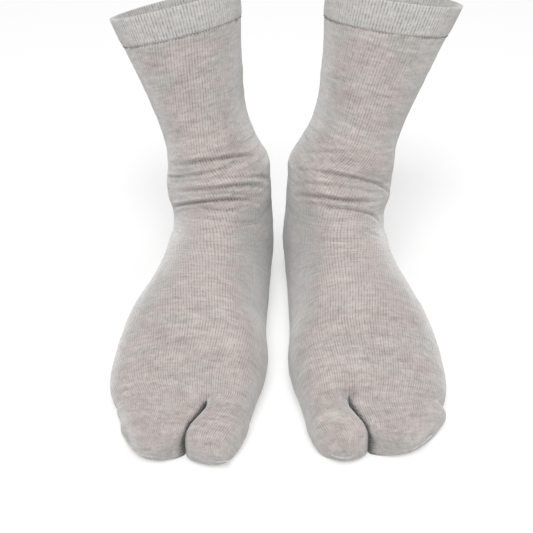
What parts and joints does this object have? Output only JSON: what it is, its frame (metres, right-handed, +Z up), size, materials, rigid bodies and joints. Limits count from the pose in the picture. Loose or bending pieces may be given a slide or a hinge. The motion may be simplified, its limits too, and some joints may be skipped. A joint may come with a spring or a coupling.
{
  "type": "pair of tabi socks",
  "caption": "Pair of light grey heather knit tabi socks with split toes and short ribbed cuffs, filled out as worn and standing side by side.",
  "frame": {"origin": "on the floor under the middle of the pair's bounding box", "axes": "-Y towards the toes, +X towards the left sock, which is for the wearer's left foot, and +Z up from the floor"},
  "size_m": [0.231, 0.269, 0.2229],
  "materials": {
    "heather_knit": "matt fine plain knit in mixed light grey yarn",
    "cuff_rib": "matt fine rib knit in paler grey yarn"
  },
  "bodies": {
    "root": {"sock_right": "heather_knit", "cuff_right": "cuff_rib", "sock_left": "heather_knit", "cuff_left": "cuff_rib"}
  },
  "joints": []
}
